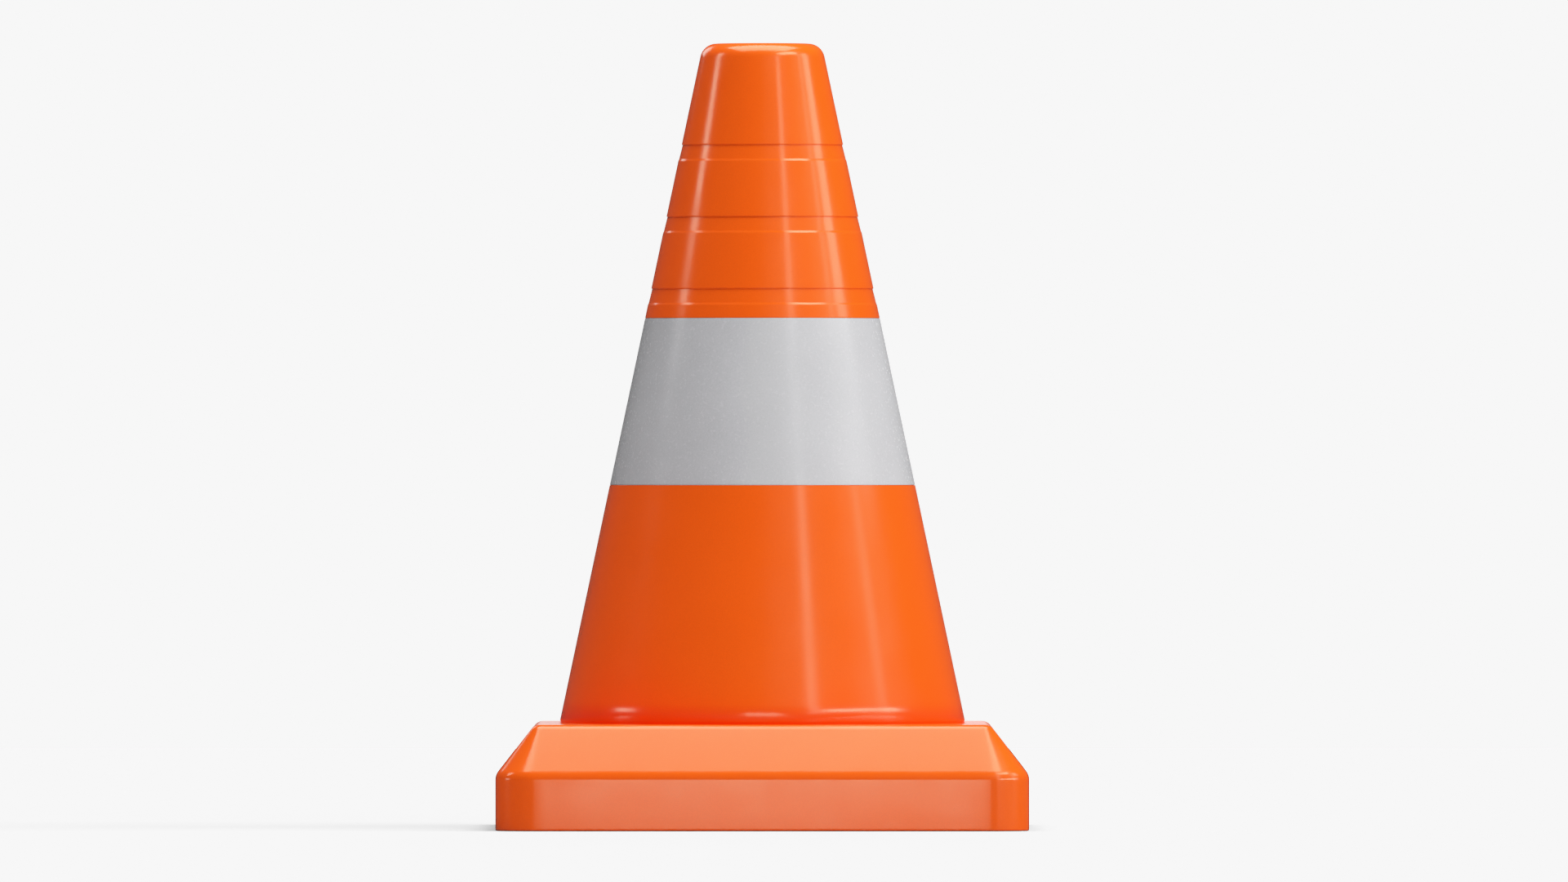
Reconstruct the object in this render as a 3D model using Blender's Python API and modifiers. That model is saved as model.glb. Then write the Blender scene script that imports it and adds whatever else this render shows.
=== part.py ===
"""A two-piece weighted traffic cone, 300 mm tall on a 204 mm square base.

The base is a moulded shell over a rubber ballast slab. A plate screwed on from below closes it, and four
rubber pads under the plate are what it stands on. The cone body is a separate hollow moulding: its spigot
drops into the round opening of the base, and it lifts straight off again. A strip of reflective film lies
in a shallow recess round the body.

The middle of the base is open right through, so that cones stack: the next cone below comes up into it.

Metres, +Z up. The origin is on the ground, under the middle of the cone.
"""

import math

import bmesh
import bpy
from mathutils import Matrix, Vector

MM = 0.001

# ---------------------------------------------------------------- driving dimensions
HEIGHT = 300 * MM
GAP = 0.3 * MM  # between pieces that touch
BEYOND = 5 * MM  # how far a cutter runs past what it cuts

# The base, seen from the side: an upright skirt, a sloping shoulder and a flat top.
BASE_HALF = 102 * MM  # half the side of the square
BASE_CORNER = 15.5 * MM  # radius of the skirt's upright corners
TOP_CORNER = 2.7 * MM  # what that has shrunk to at the flat top
BASE_TOP = 40.2 * MM
BASE_BOTTOM = 0.6 * MM  # the skirt stops just short of the ground
SHOULDER_Z = 21.2 * MM  # where the skirt meets the shoulder
SHOULDER_INSET = 15.5 * MM  # how far in from the skirt the flat top starts
SHOULDER_EASE = 2.2 * MM  # how much of each face a rounded edge takes up
SHELL_WALL = 2.6 * MM

# The cone body.
RIM_Z = 41.3 * MM
RIM_R = 77.4 * MM  # outer radius at the rim
TIP_R = 22.7 * MM  # where the straight side would meet the top, before rounding
TIP_ROUND = 6.25 * MM
TOP_HOLE_R = 13.5 * MM
TOP_WALL = 3.2 * MM
WALL = 2.6 * MM
EDGE_BREAK = 0.4 * MM
GROOVE_BOTTOMS = (255.0 * MM, 227.5 * MM, 200.0 * MM)
GROOVE_TALL = 6.3 * MM
GROOVE_DEEP = 0.35 * MM
GROOVE_SLANT = 0.3 * MM

# The reflective film, flush in its recess.
FILM_BOTTOM = 131.2 * MM
FILM_TOP = 194.9 * MM
FILM_THICK = 0.5 * MM

# The spigot under the rim, the socket that it drops into, and the keys that stop it turning.
SPIGOT_R = 72.6 * MM
SPIGOT_BOTTOM = 34 * MM
SPIGOT_LEAD = 0.7 * MM  # bevel at its lower edge
SPIGOT_BORE = 71.0 * MM  # inner radius at its lower edge
RIM_WALL_TOP = 47 * MM  # where the thick rim has blended into the wall
SOCKET_R = 73.0 * MM
SOCKET_BOTTOM = 32.5 * MM
RIM_SEAT_R = 78.2 * MM  # a shallow seat in the flat top, under the rim
RIM_SEAT_DEEP = 0.4 * MM
FUNNEL_R = 78.8 * MM  # the opening at ground level, wide enough for the cone below
COLLAR_WALL = 2.4 * MM
KEY_COUNT = 4
KEY_TURN = math.radians(45)
KEY_WIDE = 8 * MM
KEY_PROUD = 1.2 * MM
KEY_TALL = 4.5 * MM
KEY_PLAY = 0.4 * MM

# Ribs inside the body that keep a stack of cones central.
RIB_COUNT = 4
RIB_THICK = 2 * MM
RIB_PROUD = 5.2 * MM
RIB_BITE = 1.3 * MM  # how far a rib's root runs into the wall
RIB_BOTTOM = 52 * MM
RIB_TOP = 112 * MM

# What closes the base from below.
PLATE_BOTTOM = 2.0 * MM
PLATE_TOP = 5.0 * MM
BALLAST_TOP = 30 * MM
BALLAST_PLAY = 0.6 * MM
BOSS_R = 4.6 * MM
CORNER_SCREW = 64 * MM  # from the middle, along X and along Y
SIDE_SCREW = 91 * MM
PILOT_R = 1.9 * MM
PILOT_TOP = 19 * MM
SHANK_R = 1.6 * MM
SHANK_TOP = 17 * MM
SHANK_TIP_R = 0.4 * MM
SHANK_POINT = 2 * MM
SCREW_HOLE_R = 2.2 * MM
HEAD_SEAT_R = 4.2 * MM
HEAD_SEAT_DEEP = 1.2 * MM
HEAD_R = 3.6 * MM
HEAD_FACE_R = 2.9 * MM
HEAD_BOTTOM = 0.95 * MM
DRIVE_WIDE = 0.9 * MM
DRIVE_LONG = 4.2 * MM
DRIVE_DEEP = 1.0 * MM
PAD_R = 9 * MM
PAD_AT = 78 * MM  # from the middle, along X and along Y
PAD_EDGE = 0.4 * MM

# Facets.
STEPS = 64  # round the cone and the opening
SCREW_STEPS = 16
PAD_STEPS = 24
CORNER_STEPS = 6  # round a corner of the base
EASE_STEPS = 4  # over a rounded edge of the shoulder
TIP_STEPS = 6  # over the rounded tip
SHARP_ANGLE = math.radians(35)

# ---------------------------------------------------------------- sizes worked out from those
CONE_SLOPE = (RIM_R - TIP_R) / (HEIGHT - RIM_Z)
HALF_ANGLE = math.atan(CONE_SLOPE)
WALL_ACROSS = WALL / math.cos(HALF_ANGLE)  # the wall measured level, not square to the slope
CORNER_SHRINK = (BASE_CORNER - TOP_CORNER) / SHOULDER_INSET
COLLAR_TOP_R = SOCKET_R + COLLAR_WALL
COLLAR_FOOT_R = FUNNEL_R + COLLAR_WALL
HEAD_TOP = PLATE_BOTTOM + HEAD_SEAT_DEEP - GAP
CORNER_SCREWS = [(x, y) for x in (-CORNER_SCREW, CORNER_SCREW) for y in (-CORNER_SCREW, CORNER_SCREW)]
SIDE_SCREWS = [(-SIDE_SCREW, 0), (SIDE_SCREW, 0), (0, -SIDE_SCREW), (0, SIDE_SCREW)]
SCREW_PLACES = CORNER_SCREWS + SIDE_SCREWS


def cone_radius(z):
    """Outer radius of the straight side at height z."""
    return RIM_R - CONE_SLOPE * (z - RIM_Z)


def bore_radius(z):
    """Inner radius of the body's wall at height z."""
    return cone_radius(z) - WALL_ACROSS


# ---------------------------------------------------------------- scene and materials
def new_collection(name):
    made = bpy.data.collections.new(name)
    bpy.context.scene.collection.children.link(made)
    return made


def material(name, colour, roughness, metallic=0.0):
    made = bpy.data.materials.new(name)
    made.use_nodes = True
    shader = made.node_tree.nodes["Principled BSDF"]
    shader.inputs["Base Color"].default_value = (*colour, 1.0)
    shader.inputs["Roughness"].default_value = roughness
    shader.inputs["Metallic"].default_value = metallic
    return made


for old in list(bpy.data.objects):
    bpy.data.objects.remove(old, do_unlink=True)
parts = new_collection("traffic_cone")
helpers = new_collection("helpers")
orange = material("orange_plastic", (0.82, 0.11, 0.012), 0.25)
film_grey = material("reflective_film", (0.55, 0.55, 0.56), 0.5)
black_plastic = material("black_plastic", (0.03, 0.03, 0.03), 0.5)
black_rubber = material("black_rubber", (0.02, 0.02, 0.02), 0.85)
zinc = material("zinc_steel", (0.62, 0.62, 0.60), 0.35, metallic=1.0)


# ---------------------------------------------------------------- objects and modifiers
def part(name, mesh, look):
    """A visible piece."""
    if not mesh.materials:
        mesh.materials.append(look)
    made = bpy.data.objects.new(name, mesh)
    parts.objects.link(made)
    return made


def helper(name, mesh):
    """A cutter, or a shape to be joined on: never rendered."""
    made = bpy.data.objects.new(name, mesh)
    made.hide_render = True
    made.display_type = "WIRE"
    helpers.objects.link(made)
    return made


def boolean(target, operation, other):
    step = target.modifiers.new(f"{operation.title()} {other.name}", "BOOLEAN")
    step.operation = operation
    step.object = other
    step.solver = "EXACT"


def spin(made, steps=STEPS):
    """Turns an outline about Z. It must run down its outer side, so that the faces point outwards."""
    turn = made.modifiers.new("Spin", "SCREW")
    turn.steps = steps
    turn.render_steps = steps
    turn.use_merge_vertices = True
    turn.merge_threshold = 0.01 * MM


# ---------------------------------------------------------------- meshes
def mesh_from(bm, name):
    """The bmesh as a mesh, shaded smooth but for its sharp edges."""
    mesh = bpy.data.meshes.new(name)
    bm.to_mesh(mesh)
    bm.free()
    mesh.shade_smooth()
    mesh.set_sharp_from_angle(angle=SHARP_ANGLE)
    return mesh


def outline_mesh(name, outline, closed=True):
    """A mesh of edges only, through the outline's points in (radius, z)."""
    edges = [(i, i + 1) for i in range(len(outline) - 1)]
    if closed:
        edges.append((len(outline) - 1, 0))
    mesh = bpy.data.meshes.new(name)
    mesh.from_pydata([(radius, 0, z) for radius, z in outline], edges, [])
    return mesh


def cylinders(name, radius, low, high, places=((0, 0),), top_radius=None, steps=STEPS):
    """Upright cylinders, one at each place, or cones if top_radius is given."""
    bm = bmesh.new()
    for x, y in places:
        bmesh.ops.create_cone(
            bm,
            cap_ends=True,
            segments=steps,
            radius1=radius,
            radius2=radius if top_radius is None else top_radius,
            depth=high - low,
            matrix=Matrix.Translation((x, y, (low + high) / 2)),
        )
    return mesh_from(bm, name)


def boxes(name, size, placings):
    """Boxes of one size, one for each matrix."""
    bm = bmesh.new()
    for placing in placings:
        bmesh.ops.create_cube(bm, size=1, matrix=placing @ Matrix.Diagonal((*size, 1)))
    return mesh_from(bm, name)


def about_z(angle):
    return Matrix.Rotation(angle, 4, "Z")


def arc(centre, radius, start, end, steps):
    """Points of an arc from one angle to another, in (radius, z)."""
    angles = [start + (end - start) * i / steps for i in range(steps + 1)]
    return [(centre[0] + radius * math.cos(a), centre[1] + radius * math.sin(a)) for a in angles]


def eased(before, corner, after):
    """Points of the curve that rounds off a corner between its two neighbours, all in (inset, z)."""

    def along(other):
        share = SHOULDER_EASE / math.dist(corner, other)
        return [c + (o - c) * share for c, o in zip(corner, other)]

    start, end = along(before), along(after)
    points = []
    for i in range(EASE_STEPS + 1):
        t = i / EASE_STEPS
        weights = ((1 - t) ** 2, 2 * t * (1 - t), t**2)
        points.append([sum(w * p for w, p in zip(weights, at)) for at in zip(start, corner, end)])
    return points


def rounded_square(half, corner):
    """Points of a square with round corners, anticlockwise."""
    points = []
    for quarter in range(4):
        start = math.pi / 2 * quarter
        centre = about_z(start) @ Vector((half - corner, half - corner, 0))
        for i in range(CORNER_STEPS + 1):
            angle = start + math.pi / 2 * i / CORNER_STEPS
            points.append((centre.x + corner * math.cos(angle), centre.y + corner * math.sin(angle)))
    return points


def square_loft(name, levels):
    """A closed mesh through rounded squares: each level is (how far in from the skirt, z), bottom first."""
    bm = bmesh.new()
    rings = []
    for inset, z in levels:
        corner = BASE_CORNER - CORNER_SHRINK * inset
        rings.append([bm.verts.new((x, y, z)) for x, y in rounded_square(BASE_HALF - inset, corner)])
    for lower, upper in zip(rings, rings[1:]):
        for i in range(len(lower)):
            j = (i + 1) % len(lower)
            bm.faces.new((lower[i], lower[j], upper[j], upper[i]))
    bm.faces.new(list(reversed(rings[0])))
    bm.faces.new(rings[-1])
    return mesh_from(bm, name)


def inside_levels(depth, low, top):
    """Levels that stay a set depth inside the skirt and the shoulder, from low up to top."""
    rise, run = BASE_TOP - SHOULDER_Z, SHOULDER_INSET
    slant = math.hypot(rise, run)
    bend_z = SHOULDER_Z - depth * (slant - rise) / run
    return [(depth, low), (depth, bend_z), (depth + (top - bend_z) * run / rise, top)]


# ---------------------------------------------------------------- the base
def base_shell():
    """The moulded cover: a skirt, shoulder and flat top, with a collar round the opening and screw bosses."""
    foot, bend, brow = (0, BASE_BOTTOM), (0, SHOULDER_Z), (SHOULDER_INSET, BASE_TOP)
    levels = [foot, *eased(foot, bend, brow), *eased(bend, brow, (BASE_HALF, BASE_TOP))]
    shell = part("base_shell", square_loft("base_shell", levels), orange)

    hollow = square_loft("shell_cavity", inside_levels(SHELL_WALL, -BEYOND, BASE_TOP - SHELL_WALL))
    cavity = helper("shell_cavity", hollow)
    collar = cylinders("shell_collar", COLLAR_FOOT_R, BASE_BOTTOM, BASE_TOP, top_radius=COLLAR_TOP_R)
    boolean(cavity, "DIFFERENCE", helper("shell_collar", collar))
    bosses = cylinders("shell_bosses", BOSS_R, PLATE_TOP + GAP, BASE_TOP, SCREW_PLACES, steps=SCREW_STEPS)
    boolean(cavity, "DIFFERENCE", helper("shell_bosses", bosses))
    boolean(shell, "DIFFERENCE", cavity)

    flare = (FUNNEL_R - SOCKET_R) / (SOCKET_BOTTOM - BASE_BOTTOM)
    outline = [
        (0, BASE_TOP + BEYOND),
        (RIM_SEAT_R, BASE_TOP + BEYOND),
        (RIM_SEAT_R, BASE_TOP - RIM_SEAT_DEEP),
        (SOCKET_R, BASE_TOP - RIM_SEAT_DEEP),
        (SOCKET_R, SOCKET_BOTTOM),
        (FUNNEL_R + flare * BEYOND, BASE_BOTTOM - BEYOND),
        (0, BASE_BOTTOM - BEYOND),
    ]
    opening = helper("shell_opening", outline_mesh("shell_opening", outline, closed=False))
    spin(opening)
    boolean(shell, "DIFFERENCE", opening)
    boolean(shell, "DIFFERENCE", key_blocks("key_slots", KEY_PLAY, BASE_TOP + BEYOND))
    pilots = cylinders("pilot_holes", PILOT_R, 0, PILOT_TOP, SCREW_PLACES, steps=SCREW_STEPS)
    boolean(shell, "DIFFERENCE", helper("pilot_holes", pilots))


def ballast_slab():
    """The weight: a rubber slab that fills the shell round its collar and bosses."""
    levels = inside_levels(SHELL_WALL + BALLAST_PLAY, PLATE_TOP + GAP, BALLAST_TOP)
    slab = part("ballast_slab", square_loft("ballast_slab", levels), black_rubber)
    low, high = PLATE_TOP - BEYOND, BALLAST_TOP + BEYOND
    hole = cylinders("ballast_hole", COLLAR_FOOT_R + BALLAST_PLAY, low, high)
    boolean(slab, "DIFFERENCE", helper("ballast_hole", hole))
    wells = cylinders("ballast_wells", BOSS_R + BALLAST_PLAY, low, high, SCREW_PLACES, steps=SCREW_STEPS)
    boolean(slab, "DIFFERENCE", helper("ballast_wells", wells))


def base_plate():
    """The plate that closes the base from below, with a seat for each screw head."""
    inset = SHELL_WALL + GAP
    levels = [(inset, PLATE_BOTTOM), (inset, PLATE_TOP)]
    plate = part("base_plate", square_loft("base_plate", levels), black_plastic)
    low, high = PLATE_BOTTOM - BEYOND, PLATE_TOP + BEYOND
    opening = cylinders("plate_opening", COLLAR_FOOT_R + GAP, low, high)
    boolean(plate, "DIFFERENCE", helper("plate_opening", opening))
    holes = cylinders("plate_holes", SCREW_HOLE_R, low, high, SCREW_PLACES, steps=SCREW_STEPS)
    boolean(plate, "DIFFERENCE", helper("plate_holes", holes))
    seat_top = PLATE_BOTTOM + HEAD_SEAT_DEEP
    seats = cylinders("plate_seats", HEAD_SEAT_R, low, seat_top, SCREW_PLACES, steps=SCREW_STEPS)
    boolean(plate, "DIFFERENCE", helper("plate_seats", seats))


def plate_screws():
    """Eight pan-head screws with a cross recess, driven up from below."""
    outline = [
        (0, SHANK_TOP),
        (SHANK_TIP_R, SHANK_TOP),
        (SHANK_R, SHANK_TOP - SHANK_POINT),
        (SHANK_R, HEAD_TOP),
        (HEAD_R, HEAD_TOP),
        (HEAD_R, (HEAD_BOTTOM + HEAD_TOP) / 2),
        (HEAD_FACE_R, HEAD_BOTTOM),
        (0, HEAD_BOTTOM),
    ]
    blank = outline_mesh("plate_screw", outline, closed=False)
    slot = boxes("screw_slot", (DRIVE_LONG, DRIVE_WIDE, 2 * DRIVE_DEEP), [Matrix.Identity(4)])
    for number, (x, y) in enumerate(SCREW_PLACES, start=1):
        screw = part(f"plate_screw_{number}", blank, zinc)
        screw.location = (x, y, 0)
        spin(screw, SCREW_STEPS)
        cross = [helper(f"screw_{number}_slot_{which}", slot) for which in ("x", "y")]
        for arm in cross:
            arm.location = (x, y, HEAD_BOTTOM)
        cross[1].rotation_euler.z = math.pi / 2
        boolean(cross[0], "UNION", cross[1])
        boolean(screw, "DIFFERENCE", cross[0])


def grip_pads():
    """Four rubber discs stuck under the plate, which carry the cone."""
    disc = cylinders("grip_pad", PAD_R, 0, PLATE_BOTTOM - GAP, steps=PAD_STEPS)
    for end, y in (("front", -PAD_AT), ("rear", PAD_AT)):
        for side, x in (("left", -PAD_AT), ("right", PAD_AT)):
            pad = part(f"grip_pad_{end}_{side}", disc, black_rubber)
            pad.location = (x, y, 0)
            edge = pad.modifiers.new("Edge", "BEVEL")
            edge.width = PAD_EDGE
            edge.segments = 2
            edge.limit_method = "ANGLE"
            edge.angle_limit = SHARP_ANGLE


# ---------------------------------------------------------------- the cone
def cone_outline():
    """The body's outline: down the outside from the top hole, round the spigot, and back up the inside."""
    inset = TIP_ROUND * math.tan(math.pi / 4 - HALF_ANGLE / 2)
    outline = [(TOP_HOLE_R + EDGE_BREAK, HEIGHT)]
    outline += arc((TIP_R - inset, HEIGHT - TIP_ROUND), TIP_ROUND, math.pi / 2, HALF_ANGLE, TIP_STEPS)
    for bottom in GROOVE_BOTTOMS:
        top = bottom + GROOVE_TALL
        outline += [
            (cone_radius(top), top),
            (cone_radius(top) - GROOVE_DEEP, top - GROOVE_SLANT),
            (cone_radius(bottom) - GROOVE_DEEP, bottom + GROOVE_SLANT),
            (cone_radius(bottom), bottom),
        ]
    recess_top, recess_bottom, recess_deep = FILM_TOP + GAP, FILM_BOTTOM - GAP, FILM_THICK + GAP
    bore_at_rim = SPIGOT_BORE - CONE_SLOPE * (RIM_Z - SPIGOT_BOTTOM)
    ceiling = HEIGHT - TOP_WALL
    outline += [
        (cone_radius(recess_top), recess_top),
        (cone_radius(recess_top) - recess_deep, recess_top),
        (cone_radius(recess_bottom) - recess_deep, recess_bottom),
        (cone_radius(recess_bottom), recess_bottom),
        (cone_radius(RIM_Z + EDGE_BREAK), RIM_Z + EDGE_BREAK),
        (RIM_R - EDGE_BREAK, RIM_Z),
        (SPIGOT_R, BASE_TOP + GAP),
        (SPIGOT_R, SPIGOT_BOTTOM + SPIGOT_LEAD),
        (SPIGOT_R - SPIGOT_LEAD, SPIGOT_BOTTOM),
        (SPIGOT_BORE, SPIGOT_BOTTOM),
        (bore_at_rim, RIM_Z),
        (bore_radius(RIM_WALL_TOP), RIM_WALL_TOP),
        (bore_radius(ceiling - TOP_WALL), ceiling - TOP_WALL),
        (bore_radius(ceiling) - TOP_WALL / 2, ceiling),
        (TOP_HOLE_R, ceiling),
        (TOP_HOLE_R, HEIGHT - EDGE_BREAK),
    ]
    return outline


def key_blocks(name, play, top):
    """Blocks that stick out of the spigot all round or, with play and a higher top, the slots for them."""
    inner, outer = SPIGOT_BORE + SPIGOT_LEAD, SPIGOT_R + KEY_PROUD + play
    low = SPIGOT_BOTTOM + SPIGOT_LEAD - play
    middle = Matrix.Translation(((inner + outer) / 2, 0, (low + top) / 2))
    turns = [about_z(KEY_TURN + 2 * math.pi * i / KEY_COUNT) for i in range(KEY_COUNT)]
    size = (outer - inner, KEY_WIDE + 2 * play, top - low)
    return helper(name, boxes(name, size, [turn @ middle for turn in turns]))


def stacking_ribs():
    """Upright ribs on the inside of the wall, parallel to it."""
    middle_z = (RIB_BOTTOM + RIB_TOP) / 2
    deep = RIB_PROUD + RIB_BITE
    long = (RIB_TOP - RIB_BOTTOM) / math.cos(HALF_ANGLE)
    on_wall = Matrix.Translation((bore_radius(middle_z), 0, middle_z)) @ Matrix.Rotation(-HALF_ANGLE, 4, "Y")
    placed = on_wall @ Matrix.Translation((RIB_BITE - deep / 2, 0, 0))
    turns = [about_z(2 * math.pi * i / RIB_COUNT) for i in range(RIB_COUNT)]
    ribs = boxes("rib_blanks", (deep, RIB_THICK, long), [turn @ placed for turn in turns])
    return helper("rib_blanks", ribs)


def cone_body():
    body = part("cone_body", outline_mesh("cone_body", cone_outline()), orange)
    spin(body)
    boolean(body, "UNION", stacking_ribs())
    boolean(body, "UNION", key_blocks("key_blanks", 0, SPIGOT_BOTTOM + SPIGOT_LEAD + KEY_TALL))
    body.modifiers.new("Shading", "WEIGHTED_NORMAL")


def reflective_film():
    """A conical strip of film in the body's recess, flush with the wall."""
    outline = [
        (cone_radius(FILM_TOP), FILM_TOP),
        (cone_radius(FILM_BOTTOM), FILM_BOTTOM),
        (cone_radius(FILM_BOTTOM) - FILM_THICK, FILM_BOTTOM),
        (cone_radius(FILM_TOP) - FILM_THICK, FILM_TOP),
    ]
    film = part("reflective_film", outline_mesh("reflective_film", outline), film_grey)
    spin(film)
    film.modifiers.new("Shading", "WEIGHTED_NORMAL")


base_shell()
ballast_slab()
base_plate()
plate_screws()
grip_pads()
cone_body()
reflective_film()
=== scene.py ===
"""The looks of a two-piece traffic cone: a glossy orange body with a reflective strip, on a square base.

The body, film, base cover, screws and pads are made again here as fine meshes, each in the place of the
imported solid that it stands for. The base plate and the ballast slab stay as they are, with new materials.
The body and its film ride on "cone", which lifts off; everything else rides on "base".
Lengths are metres, +Z is up, and the front of the cone faces -Y.
"""

import math

import bmesh
import bpy
from mathutils import Matrix, Vector


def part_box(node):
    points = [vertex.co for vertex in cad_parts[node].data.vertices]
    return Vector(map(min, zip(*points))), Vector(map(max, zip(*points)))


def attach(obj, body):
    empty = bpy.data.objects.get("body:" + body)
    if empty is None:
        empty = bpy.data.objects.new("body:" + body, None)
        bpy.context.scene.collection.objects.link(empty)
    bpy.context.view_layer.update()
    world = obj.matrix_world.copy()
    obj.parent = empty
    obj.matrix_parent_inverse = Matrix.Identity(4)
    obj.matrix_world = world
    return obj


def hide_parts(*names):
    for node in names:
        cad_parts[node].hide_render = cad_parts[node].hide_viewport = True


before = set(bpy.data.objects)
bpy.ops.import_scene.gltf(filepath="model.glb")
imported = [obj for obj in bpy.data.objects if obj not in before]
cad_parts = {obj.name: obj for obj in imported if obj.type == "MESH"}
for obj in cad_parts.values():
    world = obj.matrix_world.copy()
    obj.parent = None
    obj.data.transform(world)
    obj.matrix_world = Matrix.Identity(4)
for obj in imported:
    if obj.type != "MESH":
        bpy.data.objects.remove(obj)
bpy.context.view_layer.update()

MM = 0.001

# ---------------------------------------------------------------- sizes
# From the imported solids.
BODY_LOW, BODY_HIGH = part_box("cone_body")
FILM_LOW, FILM_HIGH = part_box("reflective_film")
BASE_LOW, BASE_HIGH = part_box("base_shell")
SCREW_LOW, SCREW_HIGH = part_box("plate_screw_1")
PAD_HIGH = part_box("grip_pad_front_left")[1]
PAD_NODES = [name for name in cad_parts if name.startswith("grip_pad")]
SCREW_NODES = [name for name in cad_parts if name.startswith("plate_screw")]

# The cone body.
HEIGHT = BODY_HIGH.z
RIM_Z = 41.3 * MM
RIM_R = 77.4 * MM
TIP_R = 22.7 * MM  # where the straight side would meet the top, before rounding
TIP_ROUND = 6.25 * MM
TOP_HOLE_R = 13.5 * MM
TOP_WALL = 3.2 * MM
SLOPE = (RIM_R - TIP_R) / (HEIGHT - RIM_Z)
WALL = 2.66 * MM  # measured level
GROOVE_BOTTOMS = (255.0 * MM, 227.5 * MM, 200.0 * MM)
GROOVE_TALL = 6.3 * MM
GROOVE_DEEP = 0.35 * MM
GROOVE_UPPER_SLANT = 0.12 * MM
GROOVE_LOWER_SLANT = 0.8 * MM
GROOVE_EASE = 0.12 * MM
RIM_TURN = 6.8 * MM  # how far above the rim the side starts to turn in
RIM_BEVEL_IN = 0.15 * MM  # the bevel under the rim's edge
RIM_BEVEL_TALL = 0.25 * MM
RIM_DRAFT = 0.25 * MM  # how far the lip under the rim leans in before its foot
FOOT_BEVEL = 0.12 * MM
RIM_CLEAR = 0.03 * MM  # between the lip's foot and its seat
SPIGOT_R = 72.6 * MM
SPIGOT_BORE = 71.0 * MM
SPIGOT_LEAD = 0.7 * MM
EDGE = 0.5 * MM  # an ordinary moulded edge
KEY_COUNT = 4
KEY_WIDE = 8 * MM
KEY_TALL = 4.5 * MM
KEY_PROUD = 1.2 * MM
KEY_PLAY = 0.4 * MM
RIB_COUNT = 4
RIB_THICK = 2 * MM
RIB_PROUD = 5.2 * MM
RIB_BOTTOM = 52 * MM
RIB_TOP = 112 * MM
INNER_BEND_Z = 47 * MM  # where the inside of the wall bends towards the spigot's bore
INNER_BEND_ROUND = 4 * MM

# The film.
FILM_THICK = 0.32 * MM
FILM_BED = 0.38 * MM  # depth of the recess under it
FILM_GAP = 0.12 * MM  # between its edges and the recess's
FILM_CLEAR = 0.02 * MM  # between it and what it lies on
FILM_EASE = 0.1 * MM
BED_EASE = 0.08 * MM
FILM_OVERLAP = math.radians(8)
FILM_RAMP = math.radians(4)  # the turn in which its end climbs onto its start

# The base.
SKIRT_TRIM = 0.75 * MM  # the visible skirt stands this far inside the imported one
BASE_HALF = BASE_HIGH.x - SKIRT_TRIM
BASE_TOP = BASE_HIGH.z
SKIRT_DROP = 0.45 * MM  # and reaches this much nearer the floor
BASE_BOTTOM = BASE_LOW.z - SKIRT_DROP
BASE_CORNER = 14.9 * MM
TOP_CORNER = 2.7 * MM
SHOULDER_Z = 21.2 * MM
SHOULDER_INSET = 14.75 * MM
BEND_ROUND = 5.5 * MM
BROW_ROUND = 4.0 * MM
SHELL_WALL = 2.6 * MM
SOCKET_R = 73.0 * MM
SOCKET_BOTTOM = 32.5 * MM
SOCKET_ROUND = 1 * MM
RIM_SEAT_R = 78.2 * MM
RIM_SEAT_DEEP = 0.4 * MM
SEAT_EASE = 0.1 * MM
MOUTH_EASE = 0.15 * MM
FUNNEL_R = 78.8 * MM
COLLAR_WALL = 2.4 * MM
SHOULDER_SHIFT = 1 * MM  # of the shoulder's inner bends: down at its foot, inwards at its top

# The screws and pads under the base.
SCREW_HEAD_R = 3.6 * MM
SCREW_HEAD_TOP = 3.15 * MM
SCREW_HEAD_ROUND = 1.3 * MM
THREAD_R = 1.6 * MM
THREAD_ROOT_R = 1.25 * MM
THREAD_PITCH = 1.3 * MM
THREAD_COUNT = 9
SCREW_POINT_R = 0.4 * MM
SCREW_POINT_EASE = 0.1 * MM
THREAD_EASE = 0.08 * MM
SCREW_HEAD_EASE = 0.15 * MM
DRIVE_REACH = 2.1 * MM  # of each arm of the cross recess, from the middle
DRIVE_WIDE = 0.9 * MM
DRIVE_DEEP = 1 * MM
DRIVE_TAPER = 0.72
PAD_R = 9 * MM
PAD_TOP_EASE = 0.2 * MM
PAD_ROUND = 0.4 * MM
TREADS = (7.4 * MM, 5.2 * MM, 3.0 * MM)  # outer radii of the grooves in a pad's face
TREAD_WIDE = 0.8 * MM
TREAD_DEEP = 0.7 * MM
TREAD_EASE = 0.15 * MM
PIN = 0.05 * MM  # the radius left open at the middle of a turned piece, and capped

# Facets.
STEPS = 240
SMALL_STEPS = 72
OVERLAP_STEPS = 8
CORNER_STEPS = 20  # of each quarter's steps, how many go round the base's corner
SIDE_STEPS = STEPS // 4 - CORNER_STEPS
ROUND_STEPS = 8
SMALL_ROUND_STEPS = 4
FILM_ROUND_STEPS = 3
SHARP_ANGLE = math.radians(40)
FILM_SHARP_ANGLE = math.radians(50)
SUPPORT = 0.35 * MM  # an extra ring this far from a rounded edge keeps the faces beside it flat-shaded


def cone_radius(z):
    """Outer radius of the straight side at height z."""
    return RIM_R - SLOPE * (z - RIM_Z)


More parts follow.
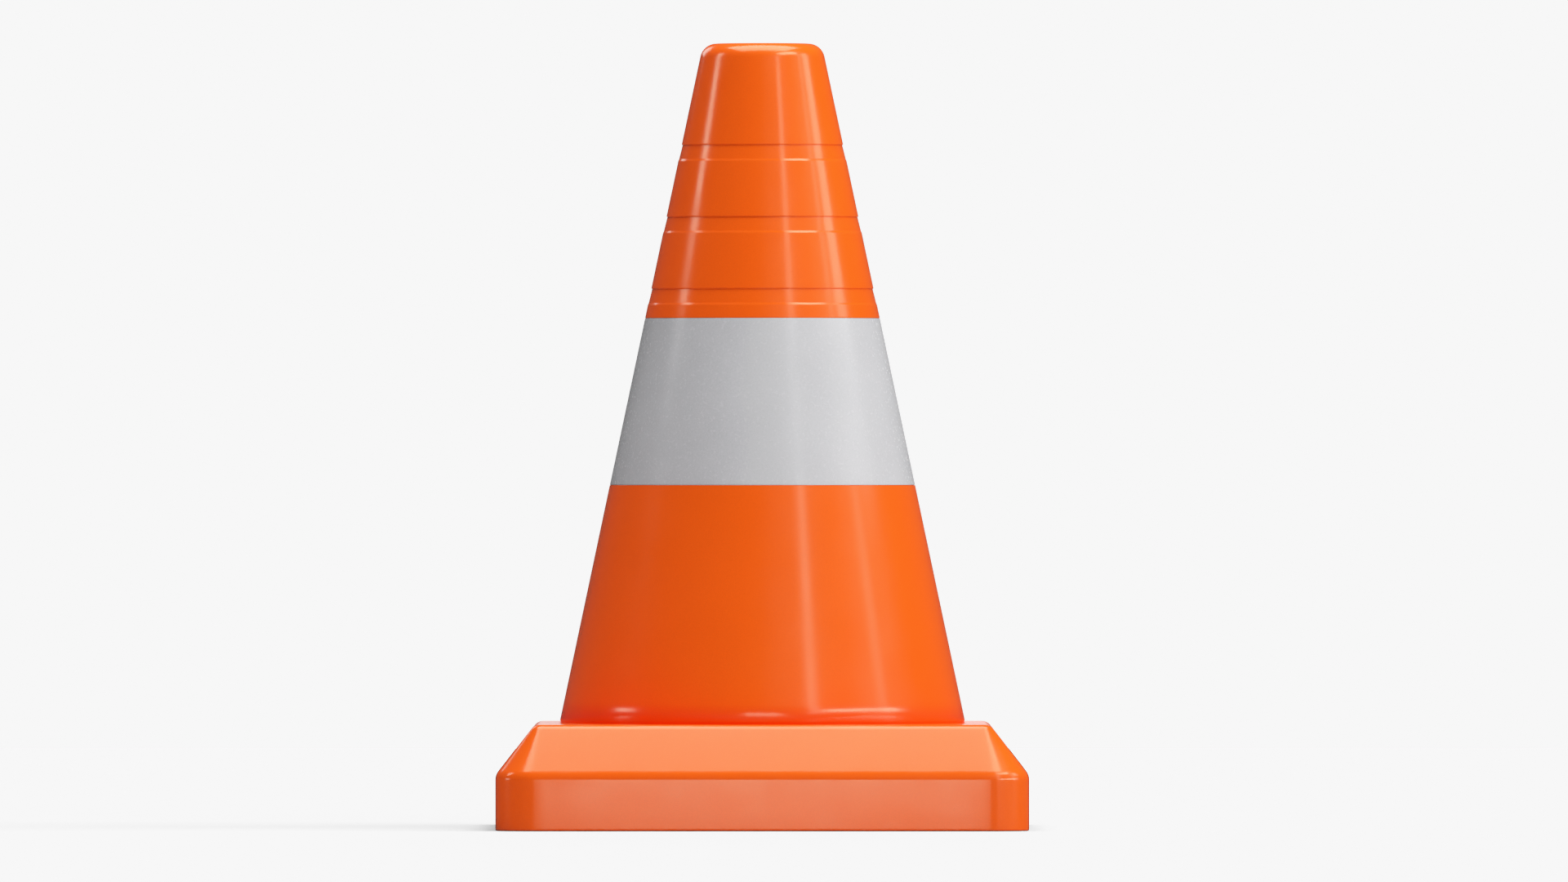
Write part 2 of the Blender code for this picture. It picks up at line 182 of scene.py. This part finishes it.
# ---------------------------------------------------------------- outlines and skins
def rounded(corners, steps=ROUND_STEPS):
    """A closed outline with its corners rounded. Each corner is (across, up) or (across, up, radius)."""
    points = []
    for i, corner in enumerate(corners):
        here = Vector(corner[:2])
        back = Vector(corners[i - 1][:2]) - here
        on = Vector(corners[(i + 1) % len(corners)][:2]) - here
        radius = corner[2] if len(corner) > 2 else 0
        if not radius:
            points.append(here)
            continue
        half = back.angle(on) / 2
        reach = radius / math.tan(half)
        centre = here + (back.normalized() + on.normalized()).normalized() * (radius / math.sin(half))
        start = (here + back.normalized() * reach - centre).normalized()
        end = (here + on.normalized() * reach - centre).normalized()
        if back.length > reach + 2 * SUPPORT:
            points.append(here + back.normalized() * (reach + SUPPORT))
        points += [centre + start.slerp(end, j / steps) * radius for j in range(steps + 1)]
        if on.length > reach + 2 * SUPPORT:
            points.append(here + on.normalized() * (reach + SUPPORT))
    return points


def circle(radius, z, steps=STEPS):
    """A level ring of points, anticlockwise from +X."""
    angles = [2 * math.pi * i / steps for i in range(steps)]
    return [(radius * math.cos(a), radius * math.sin(a), z) for a in angles]


def four_times(quarter, z):
    """A level ring made from a quarter of it, by quarter turns."""
    points = []
    for turn in range(4):
        c, s = round(math.cos(turn * math.pi / 2)), round(math.sin(turn * math.pi / 2))
        points += [(c * x - s * y, s * x + c * y, z) for x, y in quarter]
    return points


def square(half, corner, z):
    """A level square with round corners, anticlockwise from the middle of its +X side."""
    flat = half - corner
    quarter = [(half, flat * (2 * i / SIDE_STEPS)) for i in range(SIDE_STEPS // 2)]
    for i in range(CORNER_STEPS + 1):
        angle = math.pi / 2 * i / CORNER_STEPS
        quarter.append((flat + corner * math.cos(angle), flat + corner * math.sin(angle)))
    quarter += [(flat * (1 - 2 * i / SIDE_STEPS), half) for i in range(1, SIDE_STEPS // 2)]
    return four_times(quarter, z)


def skin(name, rings, material, loop=True, capped=False):
    """An object from rings of equally many points, each ring joined to the next. They go down the outside."""
    count = len(rings[0])
    faces = []
    for upper in range(len(rings) if loop else len(rings) - 1):
        lower = (upper + 1) % len(rings)
        for i in range(count):
            j = (i + 1) % count
            faces.append((upper * count + i, lower * count + i, lower * count + j, upper * count + j))
    if capped:
        faces.append(tuple(range(count)))
        faces.append(tuple(reversed(range((len(rings) - 1) * count, len(rings) * count))))
    mesh = bpy.data.meshes.new(name)
    mesh.from_pydata([tuple(p) for ring in rings for p in ring], [], faces)
    mesh.validate()
    mesh.shade_smooth()
    mesh.materials.append(material)
    made = bpy.data.objects.new(name, mesh)
    bpy.context.scene.collection.objects.link(made)
    return made


def box_cutter(name, size, placings):
    """An object of boxes, one for each matrix, to be joined to another or cut from it."""
    bm = bmesh.new()
    for placing in placings:
        bmesh.ops.create_cube(bm, size=1, matrix=placing @ Matrix.Diagonal((*size, 1)))
    mesh = bpy.data.meshes.new(name)
    bm.to_mesh(mesh)
    bm.free()
    made = bpy.data.objects.new(name, mesh)
    bpy.context.scene.collection.objects.link(made)
    return made


def combine(target, operation, other):
    """Joins the other object's shape to the target, or cuts it away, for good."""
    step = target.modifiers.new(operation, "BOOLEAN")
    step.operation = operation
    step.object = other
    step.solver = "EXACT"
    bpy.context.view_layer.update()
    shape = bpy.data.meshes.new_from_object(target.evaluated_get(bpy.context.evaluated_depsgraph_get()))
    target.modifiers.clear()
    target.data = shape
    bpy.data.objects.remove(other)


def about_z(angle):
    return Matrix.Rotation(angle, 4, "Z")


# ---------------------------------------------------------------- materials
class Nodes:
    """A material with a Principled shader, and short ways to add the nodes that feed it."""

    def __init__(self, name):
        self.material = bpy.data.materials.new(name)
        self.material.use_nodes = True
        self.tree = self.material.node_tree
        self.shader = self.tree.nodes["Principled BSDF"]
        self.place = self.add("ShaderNodeTexCoord").outputs["Object"]

    def add(self, kind, **settings):
        node = self.tree.nodes.new(kind)
        for key, value in settings.items():
            setattr(node, key, value)
        return node

    def link(self, source, target):
        self.tree.links.new(source, target)

    def noise(self, scale, detail=3.0, roughness=0.5):
        node = self.add("ShaderNodeTexNoise")
        self.link(self.place, node.inputs["Vector"])
        node.inputs["Scale"].default_value = scale
        node.inputs["Detail"].default_value = detail
        node.inputs["Roughness"].default_value = roughness
        return node.outputs["Fac"]

    def cells(self, scale, output="Distance"):
        node = self.add("ShaderNodeTexVoronoi", feature="F1")
        self.link(self.place, node.inputs["Vector"])
        node.inputs["Scale"].default_value = scale
        return node.outputs[output]

    def spread(self, value, low, high, to_low, to_high):
        """The value, with the stretch from low to high moved to another one."""
        node = self.add("ShaderNodeMapRange")
        self.link(value, node.inputs["Value"])
        ends = {"From Min": low, "From Max": high, "To Min": to_low, "To Max": to_high}
        for socket, number in ends.items():
            node.inputs[socket].default_value = number
        return node.outputs["Result"]

    def mix(self, share, first, second, blend="MIX"):
        """Two colours mixed. The share and the colours are numbers or other nodes' outputs."""
        node = self.add("ShaderNodeMix", data_type="RGBA", blend_type=blend)
        if isinstance(share, float):
            node.inputs[0].default_value = share
        else:
            self.link(share, node.inputs[0])
        for socket, colour in ((node.inputs[6], first), (node.inputs[7], second)):
            if isinstance(colour, tuple):
                socket.default_value = (*colour, 1.0)
            else:
                self.link(colour, socket)
        return node.outputs[2]

    def bump(self, height, strength, distance, below=None):
        node = self.add("ShaderNodeBump")
        self.link(height, node.inputs["Height"])
        node.inputs["Strength"].default_value = strength
        node.inputs["Distance"].default_value = distance
        if below:
            self.link(below, node.inputs["Normal"])
        return node.outputs["Normal"]


def orange_plastic():
    """Glossy moulded plastic: even colour with faint clouding, and the fine grain of a moulded skin."""
    n = Nodes("orange_plastic")
    cloud = n.spread(n.noise(22, 4), 0.3, 0.7, 0, 1)
    speckle = n.spread(n.noise(2600, 1), 0.35, 0.65, 0, 1)
    colour = n.mix(cloud, (0.93, 0.093, 0.004), (0.97, 0.098, 0.005))
    grain = n.mix(speckle, (0.94, 0.93, 0.92), (1.0, 1.0, 1.0))
    n.link(n.mix(1.0, colour, grain, "MULTIPLY"), n.shader.inputs["Base Color"])
    smear = n.noise(60, 5, 0.6)
    n.link(n.spread(smear, 0.25, 0.75, 0.14, 0.22), n.shader.inputs["Roughness"])
    ripple = n.bump(n.noise(240, 2), 0.12, 0.05 * MM)
    n.link(n.bump(n.noise(1800, 2), 0.18, 0.02 * MM, ripple), n.shader.inputs["Normal"])
    n.shader.inputs["Specular IOR Level"].default_value = 0.62
    n.shader.inputs["Specular Tint"].default_value = (1.0, 0.86, 0.66, 1.0)
    return n.material


def reflective_sheet():
    """Retroreflective film: a clear face over fine glass beads, silver-grey by ordinary light."""
    n = Nodes("reflective_film")
    bead = n.spread(n.cells(3200), 0.0, 0.6, 1.0, 0.0)
    sparkle = n.spread(n.cells(2300, output="Color"), 0.0, 1.0, 0.0, 1.0)
    cloud = n.spread(n.noise(35, 4), 0.3, 0.7, 0, 1)
    base = n.mix(cloud, (0.42, 0.42, 0.435), (0.46, 0.46, 0.475))
    glints = n.mix(sparkle, (0.93, 0.93, 0.93), (1.04, 1.04, 1.04))
    n.link(n.mix(1.0, base, glints, "MULTIPLY"), n.shader.inputs["Base Color"])
    n.link(n.spread(n.noise(900, 2), 0.3, 0.7, 0.2, 0.29), n.shader.inputs["Roughness"])
    n.link(n.bump(bead, 0.12, 0.03 * MM), n.shader.inputs["Normal"])
    return n.material


def black_plastic():
    """Spark-textured black plastic, as on the hidden face of a moulding."""
    n = Nodes("black_plastic")
    cloud = n.spread(n.noise(30, 4), 0.3, 0.7, 0, 1)
    n.link(n.mix(cloud, (0.018, 0.018, 0.019), (0.03, 0.029, 0.028)), n.shader.inputs["Base Color"])
    n.link(n.spread(n.noise(400, 3), 0.3, 0.7, 0.42, 0.6), n.shader.inputs["Roughness"])
    n.link(n.bump(n.noise(1500, 3), 0.35, 0.05 * MM), n.shader.inputs["Normal"])
    return n.material


def black_rubber():
    """Rubber with a crumbly grain, a little dusty."""
    n = Nodes("black_rubber")
    crumb = n.cells(420)
    dust = n.spread(n.noise(90, 5, 0.65), 0.45, 0.75, 0, 1)
    n.link(n.mix(dust, (0.014, 0.014, 0.014), (0.05, 0.048, 0.044)), n.shader.inputs["Base Color"])
    n.link(n.spread(n.noise(200, 3), 0.3, 0.7, 0.7, 0.92), n.shader.inputs["Roughness"])
    n.link(n.bump(crumb, 0.5, 0.12 * MM), n.shader.inputs["Normal"])
    return n.material


def zinc_steel():
    """Zinc-plated steel with a faintly blotched passivation."""
    n = Nodes("zinc_steel")
    blotch = n.spread(n.noise(900, 4, 0.6), 0.35, 0.65, 0, 1)
    n.link(n.mix(blotch, (0.50, 0.51, 0.52), (0.62, 0.60, 0.55)), n.shader.inputs["Base Color"])
    n.shader.inputs["Metallic"].default_value = 1.0
    n.link(n.spread(n.noise(1500, 3), 0.3, 0.7, 0.22, 0.42), n.shader.inputs["Roughness"])
    n.link(n.bump(n.noise(3500, 2), 0.2, 0.02 * MM), n.shader.inputs["Normal"])
    return n.material


def pale_floor():
    """A seamless pale studio floor."""
    n = Nodes("studio_floor")
    n.link(n.mix(n.noise(3, 2), (0.50, 0.50, 0.50), (0.52, 0.52, 0.52)), n.shader.inputs["Base Color"])
    n.shader.inputs["Roughness"].default_value = 0.8
    return n.material


ORANGE = orange_plastic()
FILM = reflective_sheet()
PLASTIC = black_plastic()
RUBBER = black_rubber()
ZINC = zinc_steel()


def show(piece, body, slot, *nodes):
    """Puts a finished piece in its place in the frame."""
    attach(piece, body)
    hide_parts(*nodes)


# ---------------------------------------------------------------- the cone
def body_outline():
    """The body's outline: down the outside, round the spigot and back up the inside."""
    ceiling = HEIGHT - TOP_WALL
    rim_foot = BASE_TOP - RIM_SEAT_DEEP + RIM_CLEAR
    bore_at_rim = SPIGOT_BORE - SLOPE * (RIM_Z - BODY_LOW.z)
    corners = [(TOP_HOLE_R, HEIGHT, EDGE), (TIP_R, HEIGHT, TIP_ROUND)]
    for low in GROOVE_BOTTOMS:
        high = low + GROOVE_TALL
        corners += [
            (cone_radius(high), high, GROOVE_EASE),
            (cone_radius(high) - GROOVE_DEEP, high - GROOVE_UPPER_SLANT, GROOVE_EASE),
            (cone_radius(low) - GROOVE_DEEP, low + GROOVE_LOWER_SLANT, GROOVE_EASE),
            (cone_radius(low), low, GROOVE_EASE),
        ]
    bed_top, bed_bottom = FILM_HIGH.z + FILM_GAP, FILM_LOW.z - FILM_GAP
    corners += [
        (cone_radius(bed_top), bed_top, BED_EASE),
        (cone_radius(bed_top) - FILM_BED, bed_top),
        (cone_radius(bed_bottom) - FILM_BED, bed_bottom),
        (cone_radius(bed_bottom), bed_bottom, BED_EASE),
        (cone_radius(RIM_Z + RIM_TURN), RIM_Z + RIM_TURN),
        (RIM_R, RIM_Z),
        (RIM_R - RIM_BEVEL_IN, RIM_Z - RIM_BEVEL_TALL),
        (RIM_R - RIM_DRAFT, rim_foot + FOOT_BEVEL),
        (RIM_R - RIM_DRAFT - FOOT_BEVEL, rim_foot),
        (SPIGOT_R, rim_foot),
        (SPIGOT_R, BODY_LOW.z + SPIGOT_LEAD),
        (SPIGOT_R - SPIGOT_LEAD, BODY_LOW.z),
        (SPIGOT_BORE, BODY_LOW.z),
        (bore_at_rim, RIM_Z, EDGE),
        (cone_radius(INNER_BEND_Z) - WALL, INNER_BEND_Z, INNER_BEND_ROUND),
        (cone_radius(ceiling - TOP_WALL) - WALL, ceiling - TOP_WALL),
        (cone_radius(ceiling) - WALL - TOP_WALL / 2, ceiling),
        (TOP_HOLE_R, ceiling, EDGE),
    ]
    return rounded(corners)


def cone_body():
    """The body, with its stacking ribs and keys joined to it."""
    body = skin("cone_body_moulding", [circle(p[0], p[1]) for p in body_outline()], ORANGE)
    lean = math.atan(SLOPE)
    middle = (RIB_BOTTOM + RIB_TOP) / 2
    bore = Matrix.Translation((cone_radius(middle) - WALL, 0, middle)) @ Matrix.Rotation(-lean, 4, "Y")
    inwards = Matrix.Translation((-RIB_PROUD / 2 + WALL / 4, 0, 0))
    turns = [about_z(2 * math.pi * i / RIB_COUNT) for i in range(RIB_COUNT)]
    size = (RIB_PROUD + WALL / 2, RIB_THICK, (RIB_TOP - RIB_BOTTOM) / math.cos(lean))
    combine(body, "UNION", box_cutter("ribs", size, [turn @ bore @ inwards for turn in turns]))
    combine(body, "UNION", key_blocks(0, KEY_TALL))
    show(body, "cone", "orange_plastic", "cone_body")


def key_blocks(play, tall):
    """The keys round the spigot or, with play, the shapes of their slots."""
    inner, outer = SPIGOT_BORE + SPIGOT_LEAD, SPIGOT_R + KEY_PROUD + play
    low = BODY_LOW.z + SPIGOT_LEAD - play
    turns = [about_z(math.pi / 4 + 2 * math.pi * i / KEY_COUNT) for i in range(KEY_COUNT)]
    place = Matrix.Translation(((inner + outer) / 2, 0, low + tall / 2))
    return box_cutter("keys", (outer - inner, KEY_WIDE + 2 * play, tall), [turn @ place for turn in turns])


def film_strip():
    """The strip of film, wrapped once round from the back, its end lapped over its start."""
    high, low = FILM_HIGH.z, FILM_LOW.z
    corners = [
        (cone_radius(high), high, FILM_EASE),
        (cone_radius(high) - FILM_THICK, high),
        (cone_radius(low) - FILM_THICK, low),
        (cone_radius(low), low, FILM_EASE),
    ]
    section = rounded(corners, FILM_ROUND_STEPS)
    back = math.pi / 2
    whole = 2 * math.pi + FILM_OVERLAP
    columns = STEPS + OVERLAP_STEPS
    sink = FILM_BED - FILM_THICK - FILM_CLEAR
    rings = []
    for i in range(columns + 1):
        angle = whole * i / columns
        climb = min(max((angle - 2 * math.pi + FILM_RAMP) / FILM_RAMP, 0), 1)
        lift = (FILM_THICK + FILM_CLEAR) * climb * climb * (3 - 2 * climb) - sink
        c, s = math.cos(back + angle), math.sin(back + angle)
        rings.append([((r + lift) * c, (r + lift) * s, z) for r, z in section])
    film = skin("reflective_strip", rings, FILM, loop=False, capped=True)
    film.data.set_sharp_from_angle(angle=FILM_SHARP_ANGLE)
    show(film, "cone", "reflective_film", "reflective_film")


# ---------------------------------------------------------------- the base
def base_square(inset, z):
    """A level square this far inside the skirt; its corners grow tighter towards the top of the shoulder."""
    shrink = (BASE_CORNER - TOP_CORNER) / SHOULDER_INSET
    return square(BASE_HALF - inset, BASE_CORNER - shrink * inset, z)


def base_cover():
    """The shell, from its socket out over the shoulder, down the skirt and back up inside."""
    seat = BASE_TOP - RIM_SEAT_DEEP
    roof = BASE_TOP - SHELL_WALL
    socket = [
        (SOCKET_R, SOCKET_BOTTOM, SOCKET_ROUND),
        (SOCKET_R, seat, EDGE),
        (RIM_SEAT_R, seat, SEAT_EASE),
        (RIM_SEAT_R, BASE_TOP, MOUTH_EASE),
    ]
    square_part = [
        (SHOULDER_INSET, BASE_TOP, BROW_ROUND),
        (0, SHOULDER_Z, BEND_ROUND),
        (0, BASE_BOTTOM, EDGE),
        (SHELL_WALL, BASE_BOTTOM, EDGE),
        (SHELL_WALL, SHOULDER_Z - SHOULDER_SHIFT),
        (SHOULDER_INSET + SHOULDER_SHIFT, roof),
    ]
    collar = [
        (SOCKET_R + COLLAR_WALL, roof),
        (FUNNEL_R + COLLAR_WALL, BASE_BOTTOM, EDGE),
        (FUNNEL_R, BASE_BOTTOM, EDGE),
    ]
    far = 2 * BASE_HALF  # keeps the square rings' insets apart from the round rings' radii
    square_part = [(far - inset, *rest) for inset, *rest in square_part]
    rings = []
    for across, z in rounded(socket + square_part + collar):
        rings.append(circle(across, z) if across < BASE_HALF else base_square(far - across, z))
    cover = skin("base_cover", rings, ORANGE)
    combine(cover, "DIFFERENCE", key_blocks(KEY_PLAY, BASE_TOP))
    show(cover, "base", "orange_plastic", "base_shell")


# ---------------------------------------------------------------- screws and pads
def turned(name, corners, material):
    """A solid turned about +Z, from an outline that goes down its outside from the axis and back to it."""
    rings = [circle(max(radius, PIN), z, SMALL_STEPS) for radius, z in rounded(corners, SMALL_ROUND_STEPS)]
    solid = skin(name, rings, material, loop=False, capped=True)
    solid.data.set_sharp_from_angle(angle=SHARP_ANGLE)
    return solid


def copy_to(blank, nodes, slot):
    """Puts a copy of the blank where each of the nodes is, and takes the blank away."""
    for node in nodes:
        low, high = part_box(node)
        piece = bpy.data.objects.new(f"{node}_piece", blank.data.copy())
        piece.data.transform(Matrix.Translation(((low.x + high.x) / 2, (low.y + high.y) / 2, 0)))
        bpy.context.scene.collection.objects.link(piece)
        show(piece, "base", slot, node)
    bpy.data.objects.remove(blank)


def cross(scale, z):
    """A level cross-shaped ring, anticlockwise."""
    far, near = DRIVE_REACH * scale, DRIVE_WIDE / 2 * scale
    return four_times([(far, -near), (far, near), (near, near)], z)


def screws():
    """Pan-head screws, heads down, with a cross recess and a coarse thread."""
    point = SCREW_HIGH.z - THREAD_PITCH
    corners = [(0, SCREW_HIGH.z), (SCREW_POINT_R, SCREW_HIGH.z, SCREW_POINT_EASE)]
    for turn in range(THREAD_COUNT):
        top = point - turn * THREAD_PITCH
        corners += [(THREAD_ROOT_R, top), (THREAD_R, top - THREAD_PITCH / 2, THREAD_EASE)]
    corners += [
        (THREAD_ROOT_R, SCREW_HEAD_TOP),
        (SCREW_HEAD_R, SCREW_HEAD_TOP, SCREW_HEAD_EASE),
        (SCREW_HEAD_R, SCREW_LOW.z, SCREW_HEAD_ROUND),
        (0, SCREW_LOW.z),
    ]
    blank = turned("screw_blank", corners, ZINC)
    levels = ((DRIVE_TAPER, DRIVE_DEEP), (1, 0), (1, -DRIVE_DEEP))
    rings = [cross(scale, SCREW_LOW.z + up) for scale, up in levels]
    combine(blank, "DIFFERENCE", skin("drive", rings, ZINC, loop=False, capped=True))
    blank.data.set_sharp_from_angle(angle=SHARP_ANGLE)
    copy_to(blank, SCREW_NODES, "zinc_steel")


def pads():
    """Rubber discs with ring grooves in the face they stand on."""
    corners = [(0, PAD_HIGH.z), (PAD_R, PAD_HIGH.z, PAD_TOP_EASE), (PAD_R, 0, PAD_ROUND)]
    for outer in TREADS:
        corners += [
            (outer, 0, TREAD_EASE),
            (outer, TREAD_DEEP, TREAD_EASE),
            (outer - TREAD_WIDE, TREAD_DEEP, TREAD_EASE),
            (outer - TREAD_WIDE, 0, TREAD_EASE),
        ]
    corners.append((0, 0))
    copy_to(turned("pad_blank", corners, RUBBER), PAD_NODES, "black_rubber")


cone_body()
film_strip()
base_cover()
screws()
pads()
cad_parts["ballast_slab"].data.materials[0] = RUBBER
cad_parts["base_plate"].data.materials[0] = PLASTIC

# ---------------------------------------------------------------- the studio
VIEW_WIDE = 599.8 * MM
LENS = 700
SENSOR = 36
CAMERA_ACROSS = 8.25 * MM
CAMERA_UP = 148 * MM
CAMERA_REACH = 100
camera = bpy.data.objects.new("camera", bpy.data.cameras.new("camera"))
bpy.context.scene.collection.objects.link(camera)
camera.data.lens = LENS
camera.data.sensor_width = SENSOR
camera.location = (CAMERA_ACROSS, -VIEW_WIDE * LENS / SENSOR, CAMERA_UP)
camera.rotation_euler = (math.pi / 2, 0, 0)
camera.data.clip_end = CAMERA_REACH
bpy.context.scene.camera = camera

FLOOR_R = 3.0
FLOOR_THICK = 0.02
FLOOR_STEPS = 64
BACKDROP_STRENGTH = 1.32
ROOM_STRENGTH = 0.08
ROOM_GREY = 0.9
SHINE, FILL = "shine", "fill"  # a light seen only as a reflection, and one that only brightens
LIGHTS = {
    # name: (azimuth, elevation, metres away, wide, tall, strength, what it does); azimuth 0 is in front
    "left_strip": (-91, 29.5, 1.12, 0.17, 0.36, 6, SHINE),
    "left_low": (-84, -0.7, 1.0, 0.24, 0.10, 6, SHINE),
    "left_back": (-149, 26, 1.1, 0.36, 0.36, 2, SHINE),
    "right_strip": (88, 27, 1.12, 0.24, 0.38, 4, SHINE),
    "right_band": (58, 0.6, 1.0, 0.90, 0.09, 10, SHINE),
    "right_low": (84, -0.7, 1.0, 0.16, 0.09, 3, SHINE),
    "box_near": (29, 15, 1.03, 0.09, 0.80, 4, SHINE),
    "box_middle": (52, 15, 1.03, 0.75, 0.80, 0.3, SHINE),
    "box_far": (74, 15, 1.03, 0.10, 0.80, 2, SHINE),
    "box_top": (55, 45, 1.25, 0.70, 0.28, 8, SHINE),
    "overhead": (0, 89.9, 1.0, 1.1, 0.79, 5, SHINE),
    "back_panel": (180, -3, 1.2, 0.24, 0.30, 1, SHINE),
    "front_low": (0.5, -12, 0.6, 0.20, 0.06, 5.5, SHINE),
    "key_front": (20, 25, 1.5, 0.8, 0.7, 2, FILL),
    "key_right": (80, 25, 1.5, 1.0, 0.9, 4.5, FILL),
    "fill_top": (0, 88, 1.9, 1.8, 1.8, 7, FILL),
    "fill_behind": (180, 20, 1.5, 1.2, 0.9, 1.5, FILL),
    "fill_high": (70, 62, 1.4, 0.9, 0.9, 5, FILL),
}


def soft_light(name, azimuth, elevation, away, wide, tall, strength, kind):
    """A rectangular light that faces the middle of the cone. Strength is its brightness."""
    lamp = bpy.data.lights.new(name, "AREA")
    lamp.shape = "RECTANGLE"
    lamp.size = wide
    lamp.size_y = tall
    lamp.energy = strength * math.pi * wide * tall
    made = bpy.data.objects.new(name, lamp)
    a, e = math.radians(azimuth), math.radians(elevation)
    towards = Vector((math.sin(a) * math.cos(e), -math.cos(a) * math.cos(e), math.sin(e)))
    made.location = towards * away + Vector((0, 0, HEIGHT / 2))
    made.rotation_euler = towards.to_track_quat("Z", "Y").to_euler()
    made.visible_camera = False
    made.visible_diffuse = kind == FILL
    made.visible_glossy = kind == SHINE
    bpy.context.scene.collection.objects.link(made)


for light, facts in LIGHTS.items():
    soft_light(light, *facts)

world = bpy.data.worlds.new("studio")
bpy.context.scene.world = world
world.use_nodes = True
tree = world.node_tree
backdrop = tree.nodes["Background"]
backdrop.inputs["Color"].default_value = (1, 1, 1, 1)
backdrop.inputs["Strength"].default_value = BACKDROP_STRENGTH
room = tree.nodes.new("ShaderNodeBackground")
room.inputs["Color"].default_value = (ROOM_GREY, ROOM_GREY, ROOM_GREY, 1)
room.inputs["Strength"].default_value = ROOM_STRENGTH
seen = tree.nodes.new("ShaderNodeLightPath")
either = tree.nodes.new("ShaderNodeMixShader")
tree.links.new(seen.outputs["Is Camera Ray"], either.inputs[0])
tree.links.new(room.outputs[0], either.inputs[1])
tree.links.new(backdrop.outputs[0], either.inputs[2])
tree.links.new(either.outputs[0], tree.nodes["World Output"].inputs["Surface"])

floor_rings = [circle(FLOOR_R, z, FLOOR_STEPS) for z in (0, -FLOOR_THICK)]
floor = skin("floor", floor_rings, pale_floor(), loop=False, capped=True)
floor.data.shade_flat()
floor.is_shadow_catcher = True
floor.visible_glossy = False

BRIGHTEST = 2
HELD_BACK = ((0.25, 0.5), (0.375, 0.66), (0.525, 0.83), (0.715, 0.97))  # (light / BRIGHTEST, shown as)
COMBINED = 3
view = bpy.context.scene.view_settings
view.view_transform = "Standard"
view.use_curve_mapping = True
view.curve_mapping.white_level = (BRIGHTEST, BRIGHTEST, BRIGHTEST)
curve = view.curve_mapping.curves[COMBINED]
for light, shown in HELD_BACK:
    curve.points.new(light, shown)
for point in curve.points:
    point.handle_type = "VECTOR"
view.curve_mapping.update()
